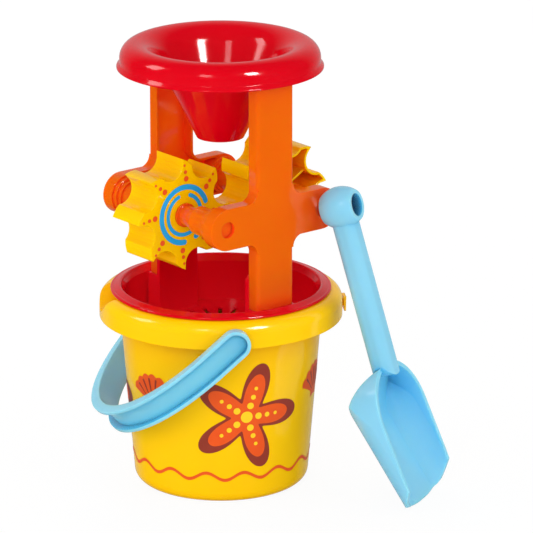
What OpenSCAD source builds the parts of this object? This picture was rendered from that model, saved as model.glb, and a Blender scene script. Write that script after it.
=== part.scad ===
// Sand wheel toy: a bucket with a swinging bail, a sieve dish that drops into its rim,
// a twin-wheel sand mill standing on the dish, a funnel over the wheels and a shovel
// leaning on the mill.
// Millimetres, real size. The ground is z = 0 under the middle of the bucket.
// The arms of the mill run along x and its axles along y.

/* [Bucket] */
// lean of the wall, degrees
bucket_draft = 4.7; // [4:0.1:5]
// wall thickness
bucket_wall = 2; // [1.6:0.1:2.2]
// floor thickness
bucket_floor = 2.6; // [2:0.1:4]
// outer rounding between wall and floor
bucket_fillet = 8; // [5:0.5:12]
// depth of the ring-shaped hollow under the floor
foot_recess = 1.2; // [0.5:0.1:1.8]
// width of the foot ring
foot_ring = 5; // [3:0.5:10]
// radius of the pad left standing in the middle of that hollow
pad_r = 14; // [8:0.5:25]
// height of the rim the dish rests on
rim_z = 137; // [125:1:150]

/* [Rim band] */
// outer radius of the band
band_r = 84; // [82:0.5:88]
// how far the band stands out over the wall at the rim
band_over = 12.84; // [12:0.02:14]
// rounding of its crown
crown_r = 7.8; // [6:0.1:8]
// height of its lower edge
band_low_z = 119; // [116:0.5:121]
// thickness of the band
band_t = 2.2; // [1.6:0.1:2.6]
// direction of the pouring trough seen from above, degrees
spout_dir = 148; // [140:0.5:155]
// radius of the pouring trough
trough_r = 21.5; // [16:0.5:24]
// height of the trough's axis over the band
trough_z = 145.3; // [142:0.1:148]
// fall of the trough towards the outside, degrees
trough_fall = 2; // [0:0.5:4]
// height of the hook stud's head
stud_h = 10.4; // [7:0.1:11]
// width of the head along the band
stud_w = 9; // [6:0.5:14]
// height of the head's upper end
stud_z = 128.4; // [126:0.1:129]
// thickness of the head at its top
stud_t_top = 2.2; // [2:0.1:4]
// thickness of the head at its lower end
stud_t_low = 1.2; // [0.8:0.1:2]
// gap between the band and the head
stud_gap = 0.7; // [0.5:0.1:3]

/* [Bail] */
// height of the pivots
pivot_z = 124.3; // [124:0.1:126]
// radius of the pivot pegs
peg_r = 3.5; // [3:0.1:3.6]
// how far a peg reaches into its bearing
peg_l = 7; // [4:0.5:8]
// radial play of a peg in its bearing
peg_play = 0.06; // [0.02:0.01:0.09]
// wall of the bearing round a peg
bearing_wall = 2; // [1.4:0.1:2.4]
// gap between the band and the legs
bail_gap = 1; // [0.6:0.1:2]
// width of the strap
bail_w = 20; // [16:0.5:22]
// depth of the strap's channel section
bail_d = 7; // [5:0.5:10]
// thickness of the strap
bail_t = 2.3; // [1.6:0.1:3]
// straight length of each leg
bail_leg = 20.5; // [18:0.5:24]
// how far the bail hangs below level, degrees
bail_hang = 42; // [38:0.5:45]

/* [Sieve dish] */
// distance of the lip's edge inside the face of the band
lip_in = 7.7; // [6:0.1:9]
// rise of the lip's crest over the rim
crest_h = 3.7; // [3:0.1:5]
// distance of the lip's crest inside the lip's edge
crest_in = 6.4; // [5.5:0.1:7]
// bead radius along the outer edge of the lip
lip_bead = 1.15; // [0.9:0.05:1.4]
// play between the bowl and the bucket at the rim
dish_play = 0.86; // [0.4:0.02:1.2]
// lean of the bowl's wall, degrees
bowl_draft = 5.6; // [5:0.1:7]
// depth of the bowl under the rim
bowl_depth = 28.5; // [20:0.5:40]
// wall thickness of the dish
dish_t = 1.9; // [1.5:0.1:2]
// slots in the inner ring of the sieve
slots_in = 12; // [6:1:14]
// slots in the outer ring of the sieve
slots_out = 24; // [12:1:30]
// width of a slot
slot_w = 2.6; // [1.5:0.1:3]
// length of a slot between its round ends
slot_l = 14; // [10:0.5:15]
// where the inner slots start, from the middle
slot_in_r = 10; // [8:0.5:11]
// where the outer slots start, from the middle
slot_out_r = 29; // [28:0.5:30]
// height of the tongue that goes up into a post
tongue_h = 24; // [12:1:34]
// thickness of the tongue's cover plate
tongue_cover = 3; // [2:0.1:4]
// rounding of the cover plate's upper corners
tongue_round = 5; // [2:0.5:8]

/* [Posts] */
// width of a post
post_w = 31.5; // [28:0.5:36]
// thickness of a post
post_d = 9.5; // [8:0.1:11]
// distance of a post's outer face inside the bowl's edge
post_inset = 6.4; // [6:0.1:8]
// wall thickness of the hollow posts
post_t = 1.8; // [1.4:0.1:2.4]
// rounding of the outer upright edges
post_edge_r = 2.6; // [1.5:0.1:4]
// half the height of an arm
arm_h = 14.4; // [13.6:0.1:15]
// rounding between arm and post
arm_fillet = 8; // [4:0.5:9]
// depth of a post in its funnel socket
post_plug = 7.5; // [5:0.5:7.5]

/* [Wheels and axles] */
// height of the axles
axle_z = 200; // [190:0.5:208]
// distance of an axle from the middle
axle_x = 41.3; // [41:0.1:43]
// radius of an axle
axle_r = 7; // [6:0.1:7.5]
// radius of an axle's end pins
axle_pin_r = 5.6; // [4.5:0.1:5.8]
// how far the pins end below the arm's face
axle_recess = 3; // [1:0.1:6]
// radial play of a wheel on its axle
wheel_play = 0.08; // [0.02:0.01:0.1]
// gap between a wheel and what stops it endways
wheel_side_gap = 0.4; // [0.3:0.1:1]
// radius of the collars on the arms
collar_r = 10; // [9:0.1:10.5]
// length of the short collars
collar_l = 21; // [16:0.5:28]
// radius step at the foot of a collar
collar_step = 1.5; // [1.4:0.1:1.7]
// length of a collar step
collar_step_l = 3.2; // [2:0.1:5]
// radius of the shoulder that stops a wheel
shoulder_r = 8.3; // [7.8:0.1:9.5]
// thickness of that shoulder
shoulder_t = 1.8; // [1:0.1:3]
// radius of the ray tips
wheel_r = 39.5; // [38:0.1:40]
// radius of the pockets between the rays
pocket_r = 27; // [25:0.1:28]
// width of a wheel along its axle
wheel_w = 29; // [24:0.5:32]
// distance of a wheel's plate face from the middle of the mill
wheel_face = 12.5; // [11:0.5:14]
// number of rays
rays = 8; // [7:1:9]
// how far a tip leads the middle of its ray, degrees
tip_lead = 5; // [2:0.5:7]
// bulge of a ray's back
back_bulge = 2.6; // [1.5:0.1:4]
// hollow of a ray's front
front_hollow = 3.8; // [2.5:0.1:5]
// wall thickness of a wheel
wheel_t = 1.5; // [1.2:0.1:2]
// radius of a wheel's hub
hub_r = 10.5; // [10:0.1:13]
// turn of the left wheel, degrees
left_turn = -2.5; // [-22:0.5:22]
// turn of the right wheel, degrees
right_turn = -8; // [-22:0.5:22]

/* [Funnel] */
// height of the brim's lower edge over the axles
brim_over_axle = 95; // [92:0.5:108]
// how far the brim reaches out over the posts
brim_over = 8.7; // [7.5:0.1:10]
// outward flare of the brim's lower edge
brim_flare = 2; // [0.5:0.1:3]
// height of the brim
brim_h = 17; // [15:0.5:18]
// how far the crown of the brim lies inside the outer faces of the posts
crown_in = 2; // [1:0.1:3]
// rounding from the crown down into the cone
throat_round = 17.8; // [16:0.1:19]
// half angle of the cone, degrees
cone_angle = 26.3; // [25:0.1:27]
// height of the spout end under the brim's lower edge
spout_drop = 49.5; // [46:0.5:52]
// wall thickness of the funnel
funnel_t = 2; // [1.6:0.1:2.2]

/* [Shovel] */
// distance of the eye's middle outside the axle, along the arm
eye_past_axle = 3.2; // [2:0.1:4]
// distance of the eye's middle in front of the post
eye_out = 16; // [16:0.1:17]
// height of the eye's middle over the axles
eye_rise = 3.9; // [3.9:0.1:5]
// roll of the shovel about its face normal, degrees
shovel_roll = 1.2; // [1:0.1:1.4]
// lean of the shovel against the mill, degrees
shovel_lean = 16.2; // [16.2:0.1:16.4]
// direction the scoop faces, degrees
shovel_dir = -63.8; // [-64.2:0.1:-63.6]
// radius of the eye
eye_r = 14.5; // [12.5:0.1:14.5]
// radius of the eye's end faces
eye_end_r = 10.4; // [9.4:0.1:10.6]
// length of the eye along its hole
eye_l = 24; // [20:0.5:24]
// radius of the hole through the eye
eye_hole_r = 7.8; // [6:0.1:8.4]
// width of the handle
handle_w = 18.5; // [15:0.5:20]
// thickness of the handle
handle_d = 16.5; // [14:0.5:18]
// corner rounding of the handle
handle_round = 6.6; // [4:0.1:6.8]
// distance from the eye to the rounded end of the handle
handle_l = 112; // [108:0.5:114]
// half width of the scoop
scoop_hw = 37; // [35:0.5:38]
// length of the scoop
scoop_l = 99.9; // [97:0.1:99.9]
// how far the tip runs past the corners of the floor
tip_bow = 6; // [4:0.5:8]
// depth of the scoop at its heel behind the handle's middle
heel_depth = 21; // [20:0.5:22]
// rounding of the heel
heel_round = 32; // [28:0.5:34]
// rounding of the scoop's lower corners
scoop_round = 22; // [18:0.5:24]
// wall thickness of the scoop
scoop_t = 3.2; // [2.6:0.1:3.4]
// how far the rim stands forward at the heel
rim_x_heel = 1; // [-1:0.5:2]
// how far the rim stands forward at its lower ends
rim_x_tip = 11; // [9:0.5:11.5]
// height of those rim ends over the tip
rim_rise = 15.9; // [12:0.1:20]
// how far the corners of the floor stand forward
rim_x_low = 1.5; // [1:0.1:2.5]

/* [Hidden] */
$fn = 96;
eps = 0.01;
wall_slope = tan(bucket_draft);
bucket_foot_r = band_r - band_over - wall_slope * rim_z;
function wall_out(z) = bucket_foot_r + wall_slope * z;
crown_c = band_r - crown_r;
crown_z = rim_z - crown_r;
bearing_r = peg_r + bearing_wall;
bail_in = band_r + bail_gap;
lip_r = band_r - lip_in;
crest_r = lip_r - crest_in;
dish_floor_z = rim_z - bowl_depth;
bowl_r = wall_out(rim_z) - bucket_wall - dish_play - dish_t;
bowl_floor_r = bowl_r - bowl_depth * tan(bowl_draft);
post_out_y = bowl_r - post_inset;
post_in_y = post_out_y - post_d;
cavity_w = post_w - 2 * post_t;
cavity_d = post_d - post_t;
pedestal_w = post_w + 2;
brim_r = post_out_y + brim_over;
brim_crown_r = post_out_y - crown_in;
brim_z = axle_z + brim_over_axle;
crown_top = brim_z + brim_h;
post_top = brim_z + post_plug;
wheel_back = wheel_w - wheel_face;
eye_pos = [axle_x + eye_past_axle, -post_out_y - eye_out, axle_z + eye_rise];
heel_top = handle_l;
scoop_tip = handle_l + scoop_l;
rim_end = rim_rise - scoop_tip;
sweep_over = 0.3;
fillet_open = 1.03;
seat_y = post_in_y - 2.5;

// A rectangle with round corners, centred.
module round_rect(w, d, r) {
  square([w - 2 * r, d], center = true);
  square([w, d - 2 * r], center = true);
  for (sx = [-1, 1], sy = [-1, 1])
    translate([sx * (w / 2 - r), sy * (d / 2 - r)]) circle(r);
}

// Half section of a tapered pot that starts at height z0, with a rounded foot.
module pot_2d(inset, z0, round_r, top) {
  foot_c = wall_out(z0 + round_r) - inset - round_r / cos(bucket_draft);
  touch = [foot_c + round_r * cos(bucket_draft), z0 + round_r - round_r * sin(bucket_draft)];
  polygon([[0, z0], [foot_c, z0], touch, [wall_out(top) - inset, top], [0, top]]);
  intersection() {
    translate([foot_c, z0 + round_r]) circle(round_r);
    translate([0, z0]) square([bucket_foot_r * 2, round_r]);
  }
}

// Half section of the rim band, full or as a shell.
module band_2d(inset, low, inner_r) {
  translate([inner_r, low]) square([crown_c - inner_r, rim_z - inset - low]);
  translate([crown_c - eps, low]) square([crown_r - inset + eps, crown_z - low]);
  intersection() {
    translate([crown_c, crown_z]) circle(crown_r - inset);
    translate([crown_c, crown_z]) square(crown_r);
  }
}

module trough(r) {
  rotate([0, 0, spout_dir]) translate([band_r, 0, trough_z]) rotate([0, 90 + trough_fall, 0])
    translate([0, 0, -band_r / 3]) cylinder(r = r, h = band_r / 2);
}

module hook_stud() {
  in_r = band_r + stud_gap;
  top = stud_z;
  rotate([0, 0, spout_dir + 180]) {
    translate([0, stud_w / 2, 0]) rotate([90, 0, 0]) linear_extrude(stud_w)
      polygon([[in_r, top], [in_r + stud_t_top, top],
               [in_r + stud_t_top - 0.2, top - stud_h],
               [in_r + stud_t_top - 0.2 - stud_t_low, top - stud_h]]);
    translate([band_r - band_t / 2, 0, top - stud_h / 2]) rotate([0, 90, 0])
      cylinder(r = stud_h / 4, h = stud_gap + band_t / 2 + stud_t_low);
  }
}

module bucket() {
  color([1, 0.8, 0.02]) difference() {
    union() {
      rotate_extrude() difference() {
        union() {
          pot_2d(0, 0, bucket_fillet, rim_z);
          difference() {
            band_2d(0, band_low_z, bucket_foot_r);
            band_2d(band_t, band_low_z - 1, 0);
          }
        }
        pot_2d(bucket_wall, bucket_floor, bucket_fillet - bucket_wall, rim_z + eps);
        translate([pad_r, -eps])
          square([bucket_foot_r - bucket_fillet - foot_ring - pad_r, foot_recess]);
      }
      intersection() {
        rotate_extrude() difference() {
          band_2d(0, band_low_z, bucket_foot_r);
          pot_2d(bucket_wall / 2, bucket_floor, bucket_fillet, rim_z + eps);
        }
        union() {
          trough(trough_r + band_t);
          for (turn = [90, -90]) rotate([0, 0, spout_dir + turn])
            translate([bucket_foot_r, 0, pivot_z]) rotate([0, 90, 0])
              cylinder(r = bearing_r, h = band_r - bucket_foot_r);
        }
      }
      hook_stud();
    }
    trough(trough_r);
    for (turn = [90, -90]) rotate([0, 0, spout_dir + turn])
      translate([bail_in - peg_l - 1, 0, pivot_z]) rotate([0, 90, 0])
        cylinder(r = peg_r + peg_play, h = peg_l + 2);
  }
}

// Outline of the bail's strap, cut square across its length.
module strap_2d() {
  difference() {
    translate([bail_in, -bail_w / 2]) square([bail_d, bail_w]);
    translate([bail_in + bail_t, bail_t - bail_w / 2]) square([bail_d, bail_w - 2 * bail_t]);
  }
}

// One leg of the bail from its round end to the bow, flat against y = bail_in.
module bail_leg_2d(inset) {
  translate([0, -bail_w / 2 + inset]) square([bail_leg, bail_w - 2 * inset]);
  circle(bail_w / 2 - inset);
}

module bail() {
  color([0.5, 0.8, 0.95])
  translate([0, 0, pivot_z]) rotate([0, 0, spout_dir]) rotate([0, bail_hang, 0]) {
    translate([bail_leg, 0, 0]) rotate([0, 0, -90]) rotate_extrude(angle = 180) strap_2d();
    for (side = [0, 1]) mirror([0, side, 0]) {
      difference() {
        translate([0, bail_in + bail_d, 0]) rotate([90, 0, 0])
          linear_extrude(bail_d) bail_leg_2d(0);
        translate([0, bail_in + bail_d + eps, 0]) rotate([90, 0, 0])
          linear_extrude(bail_d - bail_t + eps) {
            bail_leg_2d(bail_t);
            translate([bail_leg - eps, -bail_w / 2 + bail_t])
              square([1, bail_w - 2 * bail_t]);
          }
      }
      translate([0, bail_in + bail_t / 2, 0]) rotate([90, 0, 0])
        cylinder(r = peg_r, h = peg_l + bail_t / 2);
    }
  }
}

// Half section of the dish: beaded lip, rounded crest, leaning wall and floor.
module dish_2d() {
  crest_z = rim_z + crest_h;
  crest_round = 1.2;
  wall_top = rim_z - 1;
  translate([lip_r - lip_bead, rim_z + lip_bead]) circle(lip_bead);
  translate([crest_r, crest_z - crest_round]) circle(crest_round);
  polygon([[lip_r - lip_bead, rim_z], [lip_r - lip_bead, rim_z + 1.7 * lip_bead],
           [crest_r + 0.4, crest_z - 0.05], [crest_r - crest_round, crest_z - crest_round],
           [bowl_r, wall_top], [bowl_floor_r, dish_floor_z],
           [bowl_floor_r, dish_floor_z - dish_t], [bowl_floor_r + dish_t - 0.2, dish_floor_z - dish_t],
           [bowl_r + dish_t, wall_top], [bowl_r + dish_t, rim_z]]);
  translate([0, dish_floor_z - dish_t]) square([bowl_floor_r + 0.3, dish_t]);
}

// One foot for a post: pedestal, tongue and cover plate, hollow from below.
module post_foot() {
  cover_y = post_in_y - tongue_cover;
  top = rim_z + tongue_h;
  translate([-pedestal_w / 2, cover_y, dish_floor_z - dish_t])
    cube([pedestal_w, post_out_y + 0.7 - cover_y, rim_z - dish_floor_z + dish_t]);
  translate([-cavity_w / 2, post_in_y - eps, rim_z - eps])
    cube([cavity_w, cavity_d + eps, tongue_h]);
  translate([0, post_in_y, 0]) rotate([90, 0, 0]) linear_extrude(tongue_cover) {
    translate([-pedestal_w / 2, rim_z - eps]) square([pedestal_w, tongue_h - tongue_round]);
    translate([tongue_round - pedestal_w / 2, rim_z])
      square([pedestal_w - 2 * tongue_round, tongue_h]);
    for (side = [-1, 1]) translate([side * (pedestal_w / 2 - tongue_round), top - tongue_round])
      circle(tongue_round);
  }
}

module foot_hollow() {
  low = dish_floor_z - dish_t - 1;
  translate([-pedestal_w / 2 + dish_t, post_in_y - 1, low])
    cube([pedestal_w - 2 * dish_t, cavity_d - 0.4, rim_z - dish_t - low]);
  translate([-cavity_w / 2 + dish_t, post_in_y - 1, low])
    cube([cavity_w - 2 * dish_t, cavity_d - 0.4, rim_z + tongue_h - dish_t - low]);
}

// One radial slot of the sieve with round ends.
module slot(from_r) {
  translate([0, 0, dish_floor_z - dish_t - 1]) linear_extrude(dish_t + 2) {
    translate([from_r, -slot_w / 2]) square([slot_l, slot_w]);
    translate([from_r, 0]) circle(slot_w / 2);
    translate([from_r + slot_l, 0]) circle(slot_w / 2);
  }
}

module sieve_dish() {
  color([0.86, 0, 0.08]) difference() {
    union() {
      rotate_extrude() dish_2d();
      for (turn = [0, 180]) rotate([0, 0, turn]) post_foot();
    }
    for (turn = [0, 180]) rotate([0, 0, turn]) foot_hollow();
    for (i = [0 : slots_in - 1]) rotate([0, 0, (i + 0.5) * 360 / slots_in]) slot(slot_in_r);
    for (i = [0 : slots_out - 1]) rotate([0, 0, (i + 0.5) * 360 / slots_out]) slot(slot_out_r);
  }
}

// Front view of an arm with its fillets into the post.
module arm_2d(inset) {
  for (side = [-1, 1]) translate([side * axle_x, axle_z]) circle(arm_h - inset);
  translate([-axle_x, axle_z - arm_h + inset]) square([2 * axle_x, 2 * (arm_h - inset)]);
  corner = [post_w / 2 - inset, arm_h - inset];
  fillet = arm_fillet + inset;
  for (sx = [-1, 1], sz = [-1, 1]) translate([0, axle_z]) scale_sign(sx, sz)
    translate(corner) difference() {
      translate([-fillet, -fillet]) square(2 * fillet);
      translate([fillet, fillet]) circle(fillet_open * fillet);
    }
}

// Mirrors a shape into one of the four quadrants.
module scale_sign(sx, sz) {
  mirror([sx < 0 ? 1 : 0, 0]) mirror([0, sz < 0 ? 1 : 0]) children();
}

// A stepped collar that carries an axle; reach is where it ends towards the middle.
module collar(reach) {
  face = post_out_y - post_t / 2;
  step1 = post_in_y - collar_step_l;
  step2 = step1 - collar_step_l;
  rotate([-90, 0, 0]) {
    translate([0, 0, reach]) cylinder(r = collar_r, h = face - reach);
    translate([0, 0, step2]) cylinder(r = collar_r + collar_step, h = face - step2);
    translate([0, 0, step1]) cylinder(r = collar_r + 2 * collar_step, h = face - step1);
  }
}

// A post on the far side of the mill, open towards the middle.
module post_shell() {
  difference() {
    union() {
      translate([0, (post_out_y + post_in_y) / 2, rim_z]) linear_extrude(post_top - rim_z) {
        round_rect(post_w, post_d, post_edge_r);
        translate([-post_w / 2, -post_d / 2]) square([post_w, post_d / 2]);
      }
      translate([0, post_out_y, 0]) rotate([90, 0, 0]) linear_extrude(post_d) arm_2d(0);
    }
    translate([-cavity_w / 2, post_in_y - 1, rim_z - 1])
      cube([cavity_w, cavity_d + 1, post_top - post_t - rim_z + 1]);
    translate([0, post_in_y + cavity_d, 0]) rotate([90, 0, 0])
      linear_extrude(cavity_d + 1) arm_2d(post_t);
  }
}

// The post with its short collar and the long one that ends behind a wheel.
module post() {
  difference() {
    union() {
      post_shell();
      translate([axle_x, 0, axle_z]) collar(post_in_y - collar_l);
      translate([-axle_x, 0, axle_z]) collar(wheel_back + wheel_side_gap);
    }
    for (side = [-1, 1]) axle_seat(side * axle_x);
  }
}

// The stepped bore an axle end sits in.
module axle_seat(x) {
  translate([x, 0, axle_z]) rotate([-90, 0, 0]) {
    cylinder(r = axle_pin_r, h = post_out_y + 1);
    cylinder(r = axle_r, h = seat_y);
  }
}

module front_post() {
  color([0.92, 0.42, 0.04]) rotate([0, 0, 180]) post();
}

module rear_post() {
  color([0.92, 0.42, 0.04]) post();
}

// A stepped axle with the shoulder that stops its wheel.
module axle() {
  tip = post_out_y - axle_recess;
  rotate([-90, 0, 0]) {
    translate([0, 0, -tip]) cylinder(r = axle_pin_r, h = 2 * tip);
    translate([0, 0, -seat_y]) cylinder(r = axle_r, h = 2 * seat_y);
    translate([0, 0, -wheel_face - wheel_side_gap - shoulder_t])
      cylinder(r = shoulder_r, h = shoulder_t);
  }
}

module left_axle() {
  color([0.92, 0.42, 0.04]) translate([-axle_x, 0, axle_z]) axle();
}

module right_axle() {
  color([0.92, 0.42, 0.04]) translate([axle_x, 0, axle_z]) rotate([0, 0, 180]) axle();
}

// The radius and the centre of the arc through a and b whose middle lies s to the
// right of the chord.
function arc_r(a, b, s) = (norm(b - a) * norm(b - a) / 4 + s * s) / (2 * s);
function arc_c(a, b, s) =
  (a + b) / 2 + (arc_r(a, b, s) - s) * [a[1] - b[1], b[0] - a[0]] / norm(b - a);

// Where two circles cross, to the left of the line from c to d.
function cross_at(c, r, d, q) =
  let (l = norm(d - c), u = (d - c) / l, m = (l * l + r * r - q * q) / (2 * l))
  c + m * u + sqrt(r * r - m * m) * [-u[1], u[0]];

function turned(p, a) = [p[0] * cos(a) - p[1] * sin(a), p[0] * sin(a) + p[1] * cos(a)];
function heading(c, p) = atan2(p[1] - c[1], p[0] - c[0]);

// Points along the circle round c from p to q, the short way.
function arc_points(c, r, p, q, n) =
  let (a = heading(c, p), d = heading(c, q) - a, span = d > 180 ? d - 360 : d < -180 ? d + 360 : d)
  [for (i = [1 : n - 1]) c + r * [cos(a + span * i / n), sin(a + span * i / n)]];

// The outline of a wheel, moved inwards by inset. Every ray has a bulging back and a
// hollow front, so it hooks over towards its front.
function wheel_outline(inset) =
  let (step = 360 / rays,
       low = pocket_r * [cos(step / 2), -sin(step / 2)],
       high = turned(low, step),
       tip = wheel_r * [cos(tip_lead), sin(tip_lead)],
       back_c = arc_c(low, tip, back_bulge),
       back_r = arc_r(low, tip, back_bulge) - inset,
       front_c = arc_c(high, tip, front_hollow),
       front_r = arc_r(high, tip, front_hollow) + inset,
       tip_in = cross_at(front_c, front_r, back_c, back_r),
       high_in = cross_at(turned(back_c, step), back_r, front_c, front_r),
       ray = concat([turned(high_in, -step)],
                    arc_points(back_c, back_r, turned(high_in, -step), tip_in, 12),
                    arc_points(front_c, front_r, tip_in, high_in, 10)))
  [for (i = [0 : rays - 1]) for (p = ray) turned(p, i * step)];

module wheel_2d(inset) {
  polygon(wheel_outline(inset));
}

// A wheel with its plate towards -y and its open back towards +y.
module wheel(turn) {
  rotate([90, 0, 0]) difference() {
    union() {
      difference() {
        translate([0, 0, -wheel_back]) linear_extrude(wheel_w) rotate([0, 0, turn]) wheel_2d(0);
        translate([0, 0, -wheel_back - 1]) linear_extrude(wheel_w - wheel_t + 1)
          rotate([0, 0, turn]) wheel_2d(wheel_t);
      }
      translate([0, 0, -wheel_back]) cylinder(r = hub_r, h = wheel_w);
      for (i = [0 : rays - 1]) rotate([0, 0, turn + (i + 0.5) * 360 / rays])
        translate([hub_r - 1, -wheel_t / 2, 4 - wheel_back])
          cube([pocket_r - hub_r, wheel_t, wheel_w - 5]);
    }
    translate([0, 0, -wheel_w]) cylinder(r = axle_r + wheel_play, h = 2 * wheel_w);
  }
}

module left_wheel() {
  color([1, 0.76, 0.02]) translate([-axle_x, 0, axle_z]) wheel(left_turn);
}

module right_wheel() {
  color([1, 0.76, 0.02]) translate([axle_x, 0, axle_z]) rotate([0, 0, 180]) wheel(right_turn);
}

// Half section of the funnel: brim, rounded crown, throat and cone.
module funnel_2d() {
  side_r = brim_r - brim_crown_r;
  side_c = [brim_crown_r, crown_top - side_r];
  throat_c = [brim_crown_r, crown_top - throat_round];
  lean = [-cos(cone_angle), sin(cone_angle)];
  throat_end = throat_c + throat_round * lean;
  spout_z = brim_z - spout_drop;
  spout_in = throat_end[0] - (throat_end[1] - spout_z) * tan(cone_angle);
  intersection() {
    translate(side_c) difference() {
      circle(side_r);
      circle(side_r - funnel_t);
    }
    translate(side_c) square(side_r + 1);
  }
  translate([brim_r - funnel_t, brim_z]) square([funnel_t, side_c[1] - brim_z]);
  polygon([[brim_r - eps, brim_z], [brim_r + brim_flare, brim_z],
           [brim_r + brim_flare, brim_z + 0.9], [brim_r - eps, brim_z + 3.4]]);
  intersection() {
    translate(throat_c) difference() {
      circle(throat_round);
      circle(throat_round - funnel_t);
    }
    polygon([throat_c, throat_c + [0, 2 * throat_round],
             throat_c + 2 * throat_round * [-1, 1], throat_c + 2 * throat_round * lean]);
  }
  polygon([throat_end, [spout_in, spout_z], [spout_in + funnel_t / cos(cone_angle), spout_z],
           throat_end - funnel_t * lean]);
}

// All the room under the brim, as far in as the sockets need it.
module brim_room_2d() {
  side_r = brim_r - brim_crown_r;
  translate([brim_crown_r, brim_z]) square([side_r - eps, brim_h - side_r]);
  intersection() {
    translate([brim_crown_r, crown_top - side_r]) circle(side_r - eps);
    translate([brim_crown_r, brim_z]) square(brim_h);
  }
  intersection() {
    translate([brim_crown_r, crown_top - throat_round]) circle(throat_round - eps);
    translate([post_in_y - 4, brim_z]) square([brim_crown_r - post_in_y + 4 + eps, brim_h]);
  }
}

module funnel() {
  socket_t = 1.7;
  color([0.88, 0, 0.1]) {
    rotate_extrude() funnel_2d();
    intersection() {
      rotate_extrude() brim_room_2d();
      for (turn = [0, 180]) rotate([0, 0, turn])
        translate([0, (post_out_y + post_in_y) / 2, brim_z + 2]) difference() {
          linear_extrude(brim_h)
            square([post_w + 2 * socket_t, post_d + 2 * socket_t], center = true);
          translate([0, 0, -1]) linear_extrude(post_plug - 1)
            square([post_w, post_d], center = true);
        }
    }
  }
}

// Front view of the scoop: a round heel, straight sides and a bowed tip.
module scoop_plan_2d(inset) {
  heel_c = -heel_top - scoop_hw;
  bow_r = (scoop_hw * scoop_hw + tip_bow * tip_bow) / (2 * tip_bow);
  translate([0, heel_c]) circle(scoop_hw - inset);
  intersection() {
    translate([inset - scoop_hw, -scoop_tip - 1])
      square([2 * (scoop_hw - inset), scoop_tip + 1 + heel_c]);
    translate([0, bow_r - scoop_tip]) circle(bow_r + (inset > 0 ? 5 : 0));
  }
}

// Side view of the scoop: x is the face direction, y runs up the handle.
module scoop_side_2d(inset) {
  heel_c = [heel_round - heel_depth, -heel_top - heel_round];
  run = [heel_depth, -scoop_tip - heel_c[1]];
  back = [run[1], -run[0]] / norm(run);
  floor_a = heel_c + (heel_round - inset) * back;
  floor_b = floor_a + run * 1.05;
  intersection() {
    union() {
      translate(heel_c) circle(heel_round - inset);
      polygon([heel_c, floor_a, floor_b, [heel_depth * 2, floor_b[1]],
               [heel_depth * 2, -inset - heel_top], [heel_c[0], -inset - heel_top]]);
    }
    translate([inset > 0 ? heel_depth / 2 : 0, 0])
      polygon([[-3 * heel_depth, 0], [rim_x_heel, 0], [rim_x_heel, -heel_top],
               [rim_x_tip, rim_end], [rim_x_low, -scoop_tip], [rim_x_low, -scoop_tip * 1.1],
               [-3 * heel_depth, -scoop_tip * 1.1]]);
  }
}

// The U section of the scoop, swept along its sloping floor.
module scoop_sweep(inset) {
  slope = atan2(heel_depth, scoop_tip - heel_top - heel_round);
  deep = 4 * heel_depth;
  translate([heel_round - heel_depth, 0, -heel_top - heel_round]) rotate([0, -slope, 0])
    translate([deep / 2 - heel_round + inset - sweep_over, 0, -scoop_tip])
      linear_extrude(2 * scoop_tip)
        round_rect(deep, 2 * (scoop_hw - inset + sweep_over), scoop_round - inset);
}

module scoop_solid(inset) {
  intersection() {
    intersection() {
      translate([-2 * heel_depth, 0, 0]) rotate([90, 0, 90])
        linear_extrude(3 * heel_depth) scoop_plan_2d(inset);
      scoop_sweep(inset);
    }
    translate([0, scoop_hw + 1, 0]) rotate([90, 0, 0])
      linear_extrude(2 * scoop_hw + 2) scoop_side_2d(inset);
  }
}

module handle() {
  end_r = handle_w / 2;
  intersection() {
    translate([0, 0, -handle_l - handle_w]) linear_extrude(handle_l + handle_w)
      round_rect(handle_d, handle_w, handle_round);
    translate([-handle_d, 0, 0]) rotate([90, 0, 90]) linear_extrude(2 * handle_d) {
      translate([-end_r, -handle_l]) square([handle_w, handle_l]);
      translate([0, -handle_l]) circle(end_r);
    }
  }
}

module eye() {
  rise = eye_r - eye_end_r;
  arc = (eye_l * eye_l / 4 + rise * rise) / (2 * rise);
  rotate([0, 90, 0]) rotate_extrude() intersection() {
    translate([eye_r - arc, 0]) circle(arc);
    translate([0, -eye_l / 2]) square([eye_r + 1, eye_l]);
  }
}

module shovel() {
  color([0.5, 0.8, 0.95])
    translate(eye_pos) rotate([shovel_roll, -shovel_lean, shovel_dir]) difference() {
      union() {
        difference() {
          scoop_solid(0);
          scoop_solid(scoop_t);
        }
        handle();
        eye();
      }
      translate([-eye_l, 0, 0]) rotate([0, 90, 0]) cylinder(r = eye_hole_r, h = 2 * eye_l);
      translate([-handle_d / 2 - 1, 0, 6 - handle_l]) rotate([90, 0, 90])
        linear_extrude(handle_d - 2 * scoop_t) handle_groove_2d();
    }
}

// The long hollow in the back of the handle, round at both ends.
module handle_groove_2d() {
  groove_r = handle_w / 2 - 1.3 * scoop_t;
  groove_l = handle_l - eye_r - 3 * groove_r;
  translate([-groove_r, groove_r]) square([2 * groove_r, groove_l]);
  for (end = [0, 1]) translate([0, groove_r + end * groove_l]) circle(groove_r);
}

bucket();
bail();
sieve_dish();
front_post();
rear_post();
funnel();
left_axle();
right_axle();
left_wheel();
right_wheel();
shovel();
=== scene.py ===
# %% [markdown]
# A sand wheel toy, dressed for a studio picture. The CAD model is loaded as a fixed frame:
# its solids are the moulded plastic pieces themselves, so this lesson adds what a solid
# can't hold, which is colour, gloss, softly rounded edges, the printed decoration and light.

import math

import bmesh
import bpy
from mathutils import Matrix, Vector
from mathutils.geometry import delaunay_2d_cdt


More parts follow.
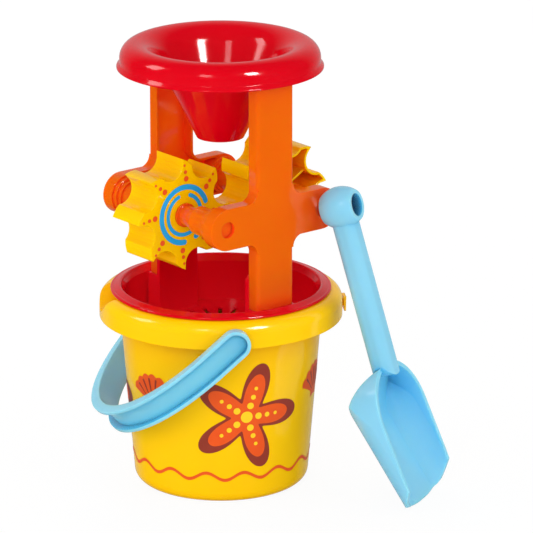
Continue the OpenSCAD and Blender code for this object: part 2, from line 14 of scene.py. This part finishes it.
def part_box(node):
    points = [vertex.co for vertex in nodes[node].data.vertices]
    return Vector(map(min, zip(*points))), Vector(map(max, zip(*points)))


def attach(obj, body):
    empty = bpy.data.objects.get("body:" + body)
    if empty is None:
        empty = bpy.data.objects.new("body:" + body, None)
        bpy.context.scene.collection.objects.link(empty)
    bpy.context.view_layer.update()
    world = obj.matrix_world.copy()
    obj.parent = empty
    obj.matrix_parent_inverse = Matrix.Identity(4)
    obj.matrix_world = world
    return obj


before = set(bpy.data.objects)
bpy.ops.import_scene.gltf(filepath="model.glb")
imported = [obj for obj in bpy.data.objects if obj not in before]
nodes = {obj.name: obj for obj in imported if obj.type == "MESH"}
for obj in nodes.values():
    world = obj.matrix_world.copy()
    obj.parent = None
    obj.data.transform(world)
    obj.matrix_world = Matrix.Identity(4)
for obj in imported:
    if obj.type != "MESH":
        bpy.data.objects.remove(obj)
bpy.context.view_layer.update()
MM = 0.001
print("nodes:", ", ".join(sorted(nodes)))

# %% [markdown]
# Sizes come from the frame. The bucket's wall is a cone of known draft, so the outermost points
# between its foot and its rim band give the radius at any height. The wheels' centres are the
# centres of their axles. Measured this way, the print still fits after the CAD model changes.

# %% Measure the pieces that carry a print
WALL_DRAFT = math.radians(4.7)
WALL_FROM = 8 * MM
WALL_TO = 110 * MM
wall_points = [v.co for v in nodes["bucket"].data.vertices]
wall_ring = max(math.hypot(p.x, p.y) - math.tan(WALL_DRAFT) * p.z
                for p in wall_points if WALL_FROM < p.z < WALL_TO)


def wall_radius(z):
    """Outer radius of the bucket's wall at height z."""
    return wall_ring + math.tan(WALL_DRAFT) * z


def centre_of(node):
    """Middle of a node's box."""
    low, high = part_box(node)
    return (low + high) / 2


axles = {side: centre_of(side + "_axle") for side in ("left", "right")}
print("wall radius at the ground: %.1f mm" % (wall_ring / MM))
print("axles at", {k: tuple(round(x / MM, 1) for x in v) for k, v in axles.items()})

# %% [markdown]
# Colours are written as the hex values a designer would pick from a swatch. Blender's shaders
# work in linear light, so one function turns them over.

# %% Colour and node helpers


def linear(hex_colour):
    """An sRGB hex colour as linear RGBA."""
    channels = [int(hex_colour[i:i + 2], 16) / 255 for i in (1, 3, 5)]
    return [c / 12.92 if c <= 0.04045 else ((c + 0.055) / 1.055) ** 2.4 for c in channels] + [1]


def add(tree, kind, inputs=None, **settings):
    """Adds a node; inputs are values, or sockets of other nodes to link from."""
    node = tree.nodes.new(kind)
    for key, value in settings.items():
        setattr(node, key, value)
    for key, value in (inputs or {}).items():
        if isinstance(value, bpy.types.NodeSocket):
            tree.links.new(value, node.inputs[key])
        else:
            node.inputs[key].default_value = value
    return node


def new_material(name):
    """An empty node material and its tree."""
    material = bpy.data.materials.new(name)
    material.use_nodes = True
    material.node_tree.nodes.clear()
    return material, material.node_tree


print("linear yellow:", [round(c, 3) for c in linear("#FFD200")])

# %% [markdown]
# Every piece is injection-moulded polypropylene. The mould is polished, so the skin is glossy,
# but the plastic shrinks a little as it cools and leaves a faint waviness a few millimetres
# long, which breaks up the highlights. The pigment is never quite even either. Thin walls let
# light through, so subsurface scattering takes in a share of it. The glow and shade of hollows
# are painted: an occlusion node finds the hollows and the colour moves towards a painted tone
# there. A pit as narrow as the hole in the shovel's eye gets painted dark shade of its own.
# No moulded edge is knife-sharp: a bevel node turns the normals
# near each edge as a small radius would, which costs no geometry.

# %% Moulded polypropylene
PP_IOR = 1.49
POLISHED = 0.1
POLISH_SPREAD = 0.03
SKIN_MM = 9
SKIN_DETAIL = 1.0
SKIN_DEPTH_MM = 0.4
SKIN_STRENGTH = 0.05
PIGMENT_MM = 45
PIGMENT_DETAIL = 2.0
EDGE_MM = 0.8
HOLLOW_MM = 35
GLOW_MM = 6
OPEN_AO = 1.0
HOLLOW_AO = 0.2
PIT_AO = 0.3
PIT_END_AO = 0.42
SOFT_SAMPLES = 6


def moulded_plastic(name, hex_light, hex_deep, hex_hollow_painted_light_and_shade, passes, glow, hex_painted_pit_shade=None,
                    roughness=POLISHED, alone=True):
    """Glossy plastic with uneven pigment, painted bounce light and shade in hollows, painted dark
    shade in narrow pits. The share glow of the light goes into the wall; passes is how far red,
    green and blue get in there. Unless alone, neighbouring pieces count as walls of a hollow too."""
    material, tree = new_material(name)
    place = add(tree, "ShaderNodeTexCoord")
    pigment = add(tree, "ShaderNodeTexNoise",
                  {"Vector": place.outputs["Object"], "Scale": 1 / (PIGMENT_MM * MM),
                   "Detail": PIGMENT_DETAIL})
    shade = add(tree, "ShaderNodeMix",
                {"Factor": pigment.outputs["Fac"], "A": linear(hex_light), "B": linear(hex_deep)},
                data_type="RGBA")
    # painted light and shade: where occlusion is high the colour moves to a painted hollow tone,
    # and in narrow pits to a painted dark shade
    openness = add(tree, "ShaderNodeAmbientOcclusion", {"Distance": HOLLOW_MM * MM},
                   samples=SOFT_SAMPLES, only_local=alone)
    painted_hollow_mask = add(tree, "ShaderNodeMapRange",
               {"Value": openness.outputs["AO"], "From Min": HOLLOW_AO, "From Max": OPEN_AO})
    painted_pit_mask = add(tree, "ShaderNodeMapRange",
              {"Value": openness.outputs["AO"], "From Min": PIT_AO, "From Max": PIT_END_AO})
    painted_hollow_colour = add(tree, "ShaderNodeMix",
                 {"Factor": painted_pit_mask.outputs["Result"], "A": linear(hex_painted_pit_shade or hex_hollow_painted_light_and_shade),
                  "B": linear(hex_hollow_painted_light_and_shade)}, data_type="RGBA")
    colour = add(tree, "ShaderNodeMix",
                 {"Factor": painted_hollow_mask.outputs["Result"], "A": painted_hollow_colour.outputs["Result"],
                  "B": shade.outputs["Result"]}, data_type="RGBA")
    wave = add(tree, "ShaderNodeTexNoise",
               {"Vector": place.outputs["Object"], "Scale": 1 / (SKIN_MM * MM),
                "Detail": SKIN_DETAIL})
    edge = add(tree, "ShaderNodeBevel", {"Radius": EDGE_MM * MM}, samples=SOFT_SAMPLES)
    skin = add(tree, "ShaderNodeBump",
               {"Height": wave.outputs["Fac"], "Strength": SKIN_STRENGTH,
                "Distance": SKIN_DEPTH_MM * MM, "Normal": edge.outputs["Normal"]})
    gloss = add(tree, "ShaderNodeMapRange",
                {"Value": wave.outputs["Fac"], "To Min": roughness - POLISH_SPREAD,
                 "To Max": roughness + POLISH_SPREAD})
    shader = add(tree, "ShaderNodeBsdfPrincipled",
                 {"Base Color": colour.outputs["Result"], "Roughness": gloss.outputs["Result"],
                  "IOR": PP_IOR, "Normal": skin.outputs["Normal"],
                  "Subsurface Weight": glow, "Subsurface Scale": GLOW_MM * MM,
                  "Subsurface Radius": passes})
    add(tree, "ShaderNodeOutputMaterial", {"Surface": shader.outputs["BSDF"]})
    return material


# the bucket's yellow is nearly opaque, and its polish is a little duller; its hollows get painted
# deeper amber shade
yellow = moulded_plastic("yellow polypropylene", "#FFCA00", "#FEC200", "#F8A800",
                         (1, 0.7, 0.1), 0.1, roughness=0.14)
# the wheels are thinner; their hollows get a painted amber glow and shade
amber = moulded_plastic("amber polypropylene", "#FFCE00", "#FFC200", "#FF9A00",
                        (1, 0.6, 0.1), 0.3)
# dish and funnel are a deep red, with painted brighter red bounce light in their hollows
red = moulded_plastic("red polypropylene", "#D60016", "#CE0014", "#FF1C2E",
                      (1, 0.15, 0.15), 0.2)
# the orange of posts and axles is painted redder, as painted bounce light and shade, wherever
# pieces close in on each other
orange = moulded_plastic("orange polypropylene", "#E66C04", "#E05E04", "#FF4A1A",
                         (1, 0.35, 0.1), 0.6, alone=False)
# the light blue of bail and shovel takes in the most light; its hollows get painted saturated
# bounce light and its pits painted dark shade
blue = moulded_plastic("light blue polypropylene", "#90CFE5", "#88C9E1", "#00BCF4",
                       (0.6, 0.8, 1), 0.8, hex_painted_pit_shade="#0A1030", roughness=0.17)
print("plastics:", [m.name for m in bpy.data.materials])

# %% [markdown]
# The CAD nodes are shown as they are. Each gets its plastic; the table also lists a slot
# name for each, which the code doesn't use.

# %% Dress the CAD nodes
FINISH = {
    "bucket": (yellow, "yellow_plastic"), "bail": (blue, "blue_plastic"),
    "sieve_dish": (red, "red_plastic"), "funnel": (red, "red_plastic"),
    "front_post": (orange, "orange_plastic"), "rear_post": (orange, "orange_plastic"),
    "left_axle": (orange, "orange_plastic"), "right_axle": (orange, "orange_plastic"),
    "left_wheel": (amber, "yellow_plastic"), "right_wheel": (amber, "yellow_plastic"),
    "shovel": (blue, "blue_plastic"),
}
for name, (plastic, slot) in FINISH.items():
    piece = nodes[name]
    piece.data.materials.clear()
    piece.data.materials.append(plastic)
print("dressed", len(FINISH), "nodes")

# %% [markdown]
# The decoration is pad-printed, a film of ink about a tenth of a millimetre thick. Ink dries a
# little matter than the polished plastic round it and never covers quite evenly, so its shader
# has a higher roughness and a fine noise between two close tones.

# %% Inks
INK_LIFT = 0.12 * MM
INK_MM = 6
INK_DETAIL = 3.0
INK_ROUGHNESS = 0.38
INK_IOR = 1.5
INK_SPECULAR = 0.3


def printing_ink(name, hex_light, hex_deep):
    """Pad-printing ink: a little matter than the plastic under it, and slightly uneven."""
    material, tree = new_material(name)
    place = add(tree, "ShaderNodeTexCoord")
    cover = add(tree, "ShaderNodeTexNoise",
                {"Vector": place.outputs["Object"], "Scale": 1 / (INK_MM * MM),
                 "Detail": INK_DETAIL})
    shade = add(tree, "ShaderNodeMix",
                {"Factor": cover.outputs["Fac"], "A": linear(hex_light), "B": linear(hex_deep)},
                data_type="RGBA")
    shader = add(tree, "ShaderNodeBsdfPrincipled",
                 {"Base Color": shade.outputs["Result"], "Roughness": INK_ROUGHNESS,
                  "IOR": INK_IOR, "Specular IOR Level": INK_SPECULAR})
    add(tree, "ShaderNodeOutputMaterial", {"Surface": shader.outputs["BSDF"]})
    return material


brown_ink = printing_ink("brown printing ink", "#983A28", "#8C3020")
orange_ink = printing_ink("orange printing ink", "#EC5A12", "#E44C0C")
yellow_ink = printing_ink("yellow printing ink", "#FFD21E", "#FBC812")
blue_ink = printing_ink("blue printing ink", "#18AEF0", "#0CA2E4")
print("inks are", INK_LIFT / MM, "mm thick")

# %% [markdown]
# Painting the print in the shader would tie every outline to a formula. Each colour is cut as a
# thin sheet instead: drawn flat in millimetres, filled with triangles small enough to bend, and
# then laid on the wall. Colours that lie over each other are lifted one film higher.

# %% Cut a flat sheet of ink
MESH_MM = 3.0
WELD_MM = 1e-4
KEEP_INSIDE = 1


def cut_sheet(outlines):
    """Fills outlines, in millimetres, with small triangles: (points, triangles)."""
    points, faces = [], []
    for outline in outlines:
        corners = [Vector(p) for p in outline]
        edges = [(i, (i + 1) % len(corners)) for i in range(len(corners))]
        xs = [p.x for p in corners]
        ys = [p.y for p in corners]
        columns = range(math.ceil(min(xs) / MESH_MM), math.floor(max(xs) / MESH_MM) + 1)
        rows = range(math.ceil(min(ys) / MESH_MM), math.floor(max(ys) / MESH_MM) + 1)
        inner = [Vector((i * MESH_MM, j * MESH_MM)) for i in columns for j in rows]
        cut = delaunay_2d_cdt(corners + inner, edges, [], KEEP_INSIDE, WELD_MM)
        start = len(points)
        points += list(cut[0])
        faces += [[start + i for i in face] for face in cut[2]]
    return points, faces


def ink_piece(name, points, faces, ink, body):
    """Makes the sheet a piece that rides on its body."""
    mesh = bpy.data.meshes.new(name)
    mesh.from_pydata([tuple(p) for p in points], [], faces)
    sheet = bmesh.new()
    sheet.from_mesh(mesh)
    loose = [v for v in sheet.verts if not v.link_faces]
    bmesh.ops.delete(sheet, geom=loose, context="VERTS")
    sheet.to_mesh(mesh)
    sheet.free()
    mesh.materials.append(ink)
    mesh.polygons.foreach_set("use_smooth", [True] * len(mesh.polygons))
    piece = bpy.data.objects.new(name, mesh)
    bpy.context.scene.collection.objects.link(piece)
    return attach(piece, body)


def print_on_wall(name, outlines, ink, turn, height, film):
    """Lays outlines on the bucket's wall round the direction turn, at a height."""
    flat, faces = cut_sheet(outlines)
    laid = []
    for p in flat:
        z = height + p.y * MM
        r = wall_radius(z) + film * INK_LIFT
        angle = turn + p.x * MM / r
        laid.append((r * math.cos(angle), r * math.sin(angle), z))
    return ink_piece(name, laid, faces, ink, "bucket")


print("sheets are cut into triangles of about", MESH_MM, "mm")

# %% [markdown]
# The wall carries seaside motifs: large starfish with small scallop shells between them. A
# starfish is a circle whose radius swells five times a turn. A shell is a fan with a scalloped
# edge. Formulas give smooth outlines at any size, which hand-placed points wouldn't.

# %% Draw the motifs
STAR_ARMS = 5
STAR_STEPS = 150
SHELL_RIBS = 7
SHELL_SPREAD = 1.15
SCALLOP = 0.07
SCALLOP_STEPS = 8
# shares of a shell's size, and half widths of its grooves in millimetres
WING, WING_TOP, WING_FOOT = 0.26, 0.12, -0.06
GROOVE_FROM, GROOVE_TO = 0.28, 0.86
GROOVE_NARROW, GROOVE_WIDE = 0.3, 0.8


def starfish(size, waist, sharp, lean):
    """Outline of a starfish with rounded arms."""
    outline = []
    for i in range(STAR_STEPS):
        a = 2 * math.pi * i / STAR_STEPS
        swell = abs(math.cos(STAR_ARMS / 2 * a)) ** sharp
        r = size * (waist + (1 - waist) * swell)
        outline.append((r * math.sin(a + lean), r * math.cos(a + lean)))
    return outline[::-1]


def spot(x, y, r, steps=20):
    """A round spot."""
    return [(x + r * math.cos(2 * math.pi * i / steps), y + r * math.sin(2 * math.pi * i / steps))
            for i in range(steps)]


def arm_spots(first, step, count, largest, shrink, lean):
    """Spots down the arms of a starfish, smaller towards the tips."""
    spots = []
    for arm in range(STAR_ARMS):
        a = 2 * math.pi * arm / STAR_ARMS + lean
        for i in range(count):
            r = first + step * i
            spots.append(spot(r * math.sin(a), r * math.cos(a), largest * shrink ** i))
    return spots


def shell(size):
    """Outline of a scallop shell, hinge down."""
    steps = SHELL_RIBS * SCALLOP_STEPS
    fan = []
    for i in range(steps + 1):
        a = SHELL_SPREAD * (1 - 2 * i / steps)
        bulge = abs(math.sin(math.pi * SHELL_RIBS * i / steps))
        r = size * (1 - SCALLOP + SCALLOP * bulge)
        fan.append((-r * math.sin(a), r * math.cos(a)))
    wing, top, foot = WING * size, WING_TOP * size, WING_FOOT * size
    return fan[::-1] + [(-wing, top), (-wing, foot), (wing, foot), (wing, top)]


def shell_ribs(size):
    """Narrow wedges that show the grooves of a shell."""
    grooves = []
    for i in range(1, SHELL_RIBS):
        a = SHELL_SPREAD * (1 - 2 * i / SHELL_RIBS)
        ray = Vector((-math.sin(a), math.cos(a)))
        side = Vector((ray.y, -ray.x))
        low, high = ray * GROOVE_FROM * size, ray * GROOVE_TO * size
        narrow, wide = side * GROOVE_NARROW, side * GROOVE_WIDE
        grooves.append([low - narrow, low + narrow, high + wide, high - wide])
    return grooves


print("a starfish has", STAR_ARMS, "arms and a shell", SHELL_RIBS, "ribs")

# %% [markdown]
# The motifs repeat round the wall, a starfish and then a shell, three times. A starfish is
# printed in three passes, as a pad printer would do it: a brown edge, an orange fill a little
# smaller, and yellow spots down the arms. The first one faces the camera.

# %% Print the motifs on the wall
TURN = math.radians(39)
FRONT = -math.pi / 2 - TURN
STARS = 3
STAR_TURN = FRONT + math.radians(16)
STAR_Z = 64 * MM
STAR_R = 40
STAR_LEAN = 0.3
EDGE_WAIST, EDGE_SHARP = 0.36, 1.7
FILL_SHARE, FILL_WAIST, FILL_SHARP = 0.8, 0.34, 1.9
CENTRE_SPOT = 4.2
ARM_SPOTS, ARM_SPOT, ARM_SHRINK = 3, 2.4, 0.75
ARM_SPOT_FROM, ARM_SPOT_STEP = 8.5, 6.5
SHELL_R = 24
SHELL_Z = 66 * MM
star_edge = starfish(STAR_R, EDGE_WAIST, EDGE_SHARP, STAR_LEAN)
star_fill = starfish(STAR_R * FILL_SHARE, FILL_WAIST, FILL_SHARP, STAR_LEAN)
star_spots = [spot(0, 0, CENTRE_SPOT)]
star_spots += arm_spots(ARM_SPOT_FROM, ARM_SPOT_STEP, ARM_SPOTS, ARM_SPOT, ARM_SHRINK, STAR_LEAN)
for i in range(STARS):
    turn = STAR_TURN + 2 * math.pi * i / STARS
    print_on_wall("star_brown_%d" % i, [star_edge], brown_ink, turn, STAR_Z, 1)
    print_on_wall("star_orange_%d" % i, [star_fill], orange_ink, turn, STAR_Z, 2)
    print_on_wall("star_spots_%d" % i, star_spots, yellow_ink, turn, STAR_Z, 3)
    between = turn + math.pi / STARS
    print_on_wall("shell_orange_%d" % i, [shell(SHELL_R)], orange_ink, between, SHELL_Z, 1)
    print_on_wall("shell_brown_%d" % i, shell_ribs(SHELL_R), brown_ink, between, SHELL_Z, 2)
print("starfish", 2 * STAR_R, "mm across, shells", 2 * SHELL_R, "mm wide")

# %% [markdown]
# A wavy water line runs round the foot of the wall under the motifs. It is one closed band, so
# it is built straight on the cone as a ring of quads instead of being cut flat and bent, which
# would leave a seam where its ends meet.

# %% Water line round the foot of the wall
WAVE_Z = 19 * MM
WAVE_RISE = 2.6 * MM
WAVE_WIDTH = 2.4 * MM
WAVES = 15
WAVE_STEPS = 360


def wave_point(i, share):
    """A point across the water line at step i."""
    angle = 2 * math.pi * i / WAVE_STEPS
    z = WAVE_Z + WAVE_RISE * math.sin(WAVES * angle) + share * WAVE_WIDTH
    r = wall_radius(z) + INK_LIFT
    return (r * math.cos(angle), r * math.sin(angle), z)


wave_points = [wave_point(i, share) for i in range(WAVE_STEPS) for share in (0, 1)]
wave_faces = []
for i in range(WAVE_STEPS):
    a, b = 2 * i, 2 * ((i + 1) % WAVE_STEPS)
    wave_faces.append([a, b, b + 1, a + 1])
ink_piece("water_line", wave_points, wave_faces, orange_ink, "bucket")
print("water line with", WAVES, "waves")

# %% [markdown]
# Each wheel's plate is printed on one side: broken blue rings round the hub and, on every
# ray, a row of shrinking dots. The rows repeat with the rays, so Geometry Nodes make them: one
# dot on the points of a line is a row, and the row on as many points as there are rays, each
# turned further, is the fan.

# %% A Geometry Nodes tree for the rows of dots
RAYS = 8
DOT_CORNERS = 24


def dot_rows_tree():
    """Builds the tree: its group and the identifiers of its inputs by label."""
    tree = bpy.data.node_groups.new("dot rows", "GeometryNodeTree")
    sockets = {}
    for label, kind in (("Rays", "Int"), ("Dots", "Int"), ("Start", "Float"), ("Step", "Float"),
                        ("Largest", "Float"), ("Shrink", "Float"), ("Lead", "Float"),
                        ("Phase", "Float"), ("Ink", "Material")):
        made = tree.interface.new_socket(label, in_out="INPUT", socket_type="NodeSocket" + kind)
        sockets[label] = made.identifier
    tree.interface.new_socket("Geometry", in_out="OUTPUT", socket_type="NodeSocketGeometry")
    given = add(tree, "NodeGroupInput").outputs
    index = add(tree, "GeometryNodeInputIndex").outputs[0]
    start = add(tree, "ShaderNodeCombineXYZ", {"X": given["Start"]}).outputs[0]
    step = add(tree, "ShaderNodeCombineXYZ", {"X": given["Step"]}).outputs[0]
    line = add(tree, "GeometryNodeMeshLine",
               {"Count": given["Dots"], "Start Location": start, "Offset": step}).outputs[0]
    lead = add(tree, "ShaderNodeMath", {0: index, 1: given["Lead"]}, operation="MULTIPLY")
    place = add(tree, "GeometryNodeInputPosition").outputs[0]
    bent = add(tree, "ShaderNodeVectorRotate", {"Vector": place, "Angle": lead.outputs[0]},
               rotation_type="Z_AXIS")
    line = add(tree, "GeometryNodeSetPosition",
               {"Geometry": line, "Position": bent.outputs[0]}).outputs[0]
    dot = add(tree, "GeometryNodeMeshCircle",
              {"Vertices": DOT_CORNERS, "Radius": given["Largest"]}, fill_type="NGON").outputs[0]
    size = add(tree, "ShaderNodeMath", {0: given["Shrink"], 1: index}, operation="POWER")
    row = add(tree, "GeometryNodeInstanceOnPoints",
              {"Points": line, "Instance": dot, "Scale": size.outputs[0]}).outputs[0]
    fan = add(tree, "GeometryNodeMeshLine", {"Count": given["Rays"], "Offset": (0, 0, 0)})
    part = add(tree, "ShaderNodeMath", {0: 2 * math.pi, 1: given["Rays"]}, operation="DIVIDE")
    turn = add(tree, "ShaderNodeMath", {0: index, 1: part.outputs[0], 2: given["Phase"]},
               operation="MULTIPLY_ADD")
    facing = add(tree, "ShaderNodeCombineXYZ", {"Z": turn.outputs[0]}).outputs[0]
    rows = add(tree, "GeometryNodeInstanceOnPoints",
               {"Points": fan.outputs[0], "Instance": row, "Rotation": facing}).outputs[0]
    real = add(tree, "GeometryNodeRealizeInstances", {"Geometry": rows}).outputs[0]
    inked = add(tree, "GeometryNodeSetMaterial", {"Geometry": real, "Material": given["Ink"]})
    add(tree, "NodeGroupOutput", {"Geometry": inked.outputs[0]})
    return tree, sockets


dot_rows, dot_sockets = dot_rows_tree()
print("dot rows tree:", len(dot_rows.nodes), "nodes")

# %% [markdown]
# The tree is evaluated once for each wheel, and its result becomes a plain mesh. The way the
# rays point is read from the wheel's outermost corner, so that the rows stand on the rays. A
# tip leads the middle of its ray by a few degrees, since the rays are hooked.

# %% Grow the rows of dots
TIP_LEAD = math.radians(5)
DOTS = 3
FIRST_DOT = 25.2 * MM
DOT_STEP = 4.7 * MM
DOT_R = 2.0 * MM
DOT_SHRINK = 0.7
DOT_LEAD = math.radians(1.6)


def grow_dots(**sizes):
    """Evaluates the tree with these sizes and returns its points and faces."""
    host = bpy.data.objects.new("dot host", bpy.data.meshes.new("dot host"))
    bpy.context.scene.collection.objects.link(host)
    grower = host.modifiers.new("dot rows", "NODES")
    grower.node_group = dot_rows
    for label, value in sizes.items():
        grower[dot_sockets[label]] = value
    ready = host.evaluated_get(bpy.context.evaluated_depsgraph_get())
    grown = bpy.data.meshes.new_from_object(ready)
    points = [v.co.copy() for v in grown.vertices]
    faces = [list(p.vertices) for p in grown.polygons]
    host.modifiers.remove(grower)
    bpy.data.objects.remove(host)
    return points, faces


def ray_phase(wheel, centre, way):
    """Direction of the middle of a ray, seen from the printed side."""
    corner = max((v.co for v in nodes[wheel].data.vertices),
                 key=lambda p: math.hypot(p.x - centre.x, p.z - centre.z))
    angle = math.atan2(corner.z - centre.z, way * (corner.x - centre.x))
    return angle - TIP_LEAD


print("a row of", DOTS, "dots, the largest %.1f mm across" % (2 * DOT_R / MM))

# %% [markdown]
# The rings round the hub are cut as sheets, as on the wall: each is a stretch of a ring with
# round ends, given by its two radii, where it starts and how far it runs. The printed side of
# the plate faces the front on the left wheel and the rear on the right one, where the same
# print is turned round.

# %% Cut the rings and print both wheels
RINGS = [
    (17.6, 21.4, 20, 250),
    (17.6, 21.4, 300, 50),
    (12.6, 15.4, 110, 215),
    (12.6, 15.4, 350, 80),
]
RING_STEPS = 28
# angles of the points on a round end
ROUND_END = (0.5, 1.05, 1.57, 2.1, 2.64)


def ring_arc(r_in, r_out, start, span):
    """Outline of a broken ring with round ends, in millimetres and degrees."""
    middle, cap = (r_in + r_out) / 2, (r_out - r_in) / 2
    angles = [math.radians(start + span * i / RING_STEPS) for i in range(RING_STEPS + 1)]
    outer = [(r_out * math.cos(a), r_out * math.sin(a)) for a in angles]
    inner = [(r_in * math.cos(a), r_in * math.sin(a)) for a in reversed(angles)]
    ends = []
    for a, way in ((angles[-1], 0), (angles[0], math.pi)):
        c = Vector((middle * math.cos(a), middle * math.sin(a)))
        ends.append([tuple(c + cap * Vector((math.cos(a + way + t), math.sin(a + way + t))))
                     for t in ROUND_END])
    return outer + ends[0] + inner + ends[1]


def on_plate(points, scale, centre, way, plate_y):
    """Flat points as points on a wheel's printed side, which lies at plate_y."""
    return [(centre.x + way * p[0] * scale, plate_y, centre.z + p[1] * scale) for p in points]


for side, way in (("left", 1), ("right", -1)):
    wheel = side + "_wheel"
    centre = axles[side]
    low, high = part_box(wheel)
    plate_y = low.y - INK_LIFT if way > 0 else high.y + INK_LIFT
    dots, faces = grow_dots(Rays=RAYS, Dots=DOTS, Start=FIRST_DOT, Step=DOT_STEP, Largest=DOT_R,
                            Shrink=DOT_SHRINK, Lead=DOT_LEAD,
                            Phase=ray_phase(wheel, centre, way), Ink=orange_ink)
    laid = on_plate(dots, 1, centre, way, plate_y)
    ink_piece(wheel + "_dots", laid, faces, orange_ink, wheel)
    flat, faces = cut_sheet([ring_arc(*ring) for ring in RINGS])
    laid = on_plate(flat, MM, centre, way, plate_y)
    ink_piece(wheel + "_rings", laid, faces, blue_ink, wheel)
    print(wheel, "plate at y = %.1f mm," % (plate_y / MM), len(dots), "dot points")

# %% [markdown]
# The camera stands where the photograph was taken from: far away with a long lens, so that
# upright edges stay nearly parallel. Its place is worked out from the turn of the mill in the
# picture, the height of the eye and the distance.

# %% Camera
SENSOR_MM = 36
FRAME_PX = 533
FOCAL_PX = 4470
RAISE = math.radians(17.27)
DISTANCE = 3.083
AIM_RIGHT = 31.5 * MM
AIM_Z = 152.09 * MM
right_way = Vector((math.cos(TURN), -math.sin(TURN), 0))
away = Vector((math.sin(TURN), math.cos(TURN), 0))
target = AIM_RIGHT * right_way + Vector((0, 0, AIM_Z))
toward = away * math.cos(RAISE) - Vector((0, 0, math.sin(RAISE)))
camera = bpy.data.objects.new("camera", bpy.data.cameras.new("camera"))
bpy.context.scene.collection.objects.link(camera)
camera.data.sensor_width = SENSOR_MM
camera.data.lens = FOCAL_PX / FRAME_PX * SENSOR_MM
camera.location = target - toward * DISTANCE
camera.rotation_mode = "QUATERNION"
camera.rotation_quaternion = toward.to_track_quat("-Z", "Y")
bpy.context.scene.camera = camera
bpy.context.scene.view_settings.view_transform = "Standard"
print("lens %.1f mm at %s" % (camera.data.lens, tuple(round(x, 3) for x in camera.location)))

# %% [markdown]
# The studio is a sheet of white paper that melts into a white background. The paper is mostly
# white light to the camera, and a small share of it stays real matt paper, so it keeps the
# toy's shadow. A flat disc is enough, since it reaches far past the edge of the picture.

# %% Floor
FLOOR_R = 8.0
FLOOR_CORNERS = 96
FLOOR_WHITE = 0.93
bpy.ops.mesh.primitive_circle_add(vertices=FLOOR_CORNERS, radius=FLOOR_R, fill_type="NGON")
floor = bpy.context.object
floor.name = "studio_floor"
paper, tree = new_material("white paper sweep")
ray = add(tree, "ShaderNodeLightPath")
matt = add(tree, "ShaderNodeBsdfDiffuse", {"Color": linear("#F4F4F4")})
white = add(tree, "ShaderNodeEmission", {"Color": linear("#FFFFFF"), "Strength": 1.0})
share = add(tree, "ShaderNodeMath",
            {0: ray.outputs["Is Camera Ray"], 1: FLOOR_WHITE}, operation="MULTIPLY")
sweep = add(tree, "ShaderNodeMixShader",
            {0: share.outputs[0], 1: matt.outputs[0], 2: white.outputs[0]})
add(tree, "ShaderNodeOutputMaterial", {"Surface": sweep.outputs[0]})
floor.data.materials.append(paper)
floor.visible_glossy = False
print("floor radius", FLOOR_R, "m")

# %% [markdown]
# The surround is white to the camera and lights the toy evenly from all sides. The toy has no
# metal and no glass to mirror the white all round, so its gloss sees a studio instead: a pale
# backdrop behind the toy and a dark room in front of it. Edges that turn away from the camera
# catch the backdrop, and the faces keep their full colour. A world shader can tell these rays
# apart by the Light Path node, and the backdrop by the direction of the ray.

# %% Surround
SURROUND = 0.92
DARK_ROOM = 0.03
BACKDROP = 0.45
BACKDROP_FROM = 0.45
BACKDROP_FULL = 0.95
world = bpy.data.worlds.new("white studio")
bpy.context.scene.world = world
world.use_nodes = True
tree = world.node_tree
tree.nodes.clear()
ray = add(tree, "ShaderNodeLightPath")
level = add(tree, "ShaderNodeMapRange",
            {"Value": ray.outputs["Is Camera Ray"], "To Min": SURROUND, "To Max": 1.0})
where = add(tree, "ShaderNodeTexCoord")
behind = add(tree, "ShaderNodeVectorMath", {0: where.outputs["Generated"], 1: away},
             operation="DOT_PRODUCT")
room = add(tree, "ShaderNodeMapRange",
           {"Value": behind.outputs["Value"], "From Min": BACKDROP_FROM,
            "From Max": BACKDROP_FULL, "To Min": DARK_ROOM, "To Max": BACKDROP})
seen = add(tree, "ShaderNodeMix",
           {"Factor": ray.outputs["Is Glossy Ray"], "A": level.outputs["Result"],
            "B": room.outputs["Result"]})
surround = add(tree, "ShaderNodeBackground",
               {"Color": linear("#FFFFFF"), "Strength": seen.outputs[0]})
add(tree, "ShaderNodeOutputWorld", {"Surface": surround.outputs[0]})
print("surround", SURROUND, "and backdrop", BACKDROP)

# %% [markdown]
# Two sets of soft boxes stand round the toy. The lamps light it evenly from all sides and don't
# show in its gloss. The shines do the opposite: they show only as reflections, and each stands
# where a highlight of the photograph says a window or a soft box must have been.

# %% Lamps


def lamp(name, power, width, height, right, back, up):
    """A soft box in the picture's own directions, aimed at the toy."""
    data = bpy.data.lights.new(name, "AREA")
    data.energy = power
    data.shape = "RECTANGLE"
    data.size = width
    data.size_y = height
    light = bpy.data.objects.new(name, data)
    bpy.context.scene.collection.objects.link(light)
    light.location = right * right_way + back * away + Vector((0, 0, AIM_Z + up))
    aim = Vector((0, 0, AIM_Z)) - light.location
    light.rotation_mode = "QUATERNION"
    light.rotation_quaternion = aim.to_track_quat("-Z", "Y")
    return light


# power in watts, then width, height and place to the right, to the back and up, in metres
lamps = [
    lamp("front", 11, 1.0, 1.0, -0.3, -2.0, 1.0),
    lamp("left", 7, 1.2, 1.2, -1.8, -0.6, 0.3),
    lamp("right", 6, 1.2, 1.2, 1.8, -0.9, 0.3),
    lamp("back", 7, 1.0, 1.0, -0.3, 1.6, 1.0),
]
shines = [
    lamp("right shine", 34, 0.45, 0.7, 1.12, -1.28, 1.39),
    lamp("front shine", 3, 0.4, 0.6, -0.55, -1.74, 1.25),
    lamp("left shine", 8, 0.6, 0.8, -1.74, 0.0, 1.32),
]
for light in lamps:
    light.visible_glossy = False
for light in shines:
    light.visible_diffuse = False
print("lamps:", [(light.name, light.data.energy) for light in lamps + shines])
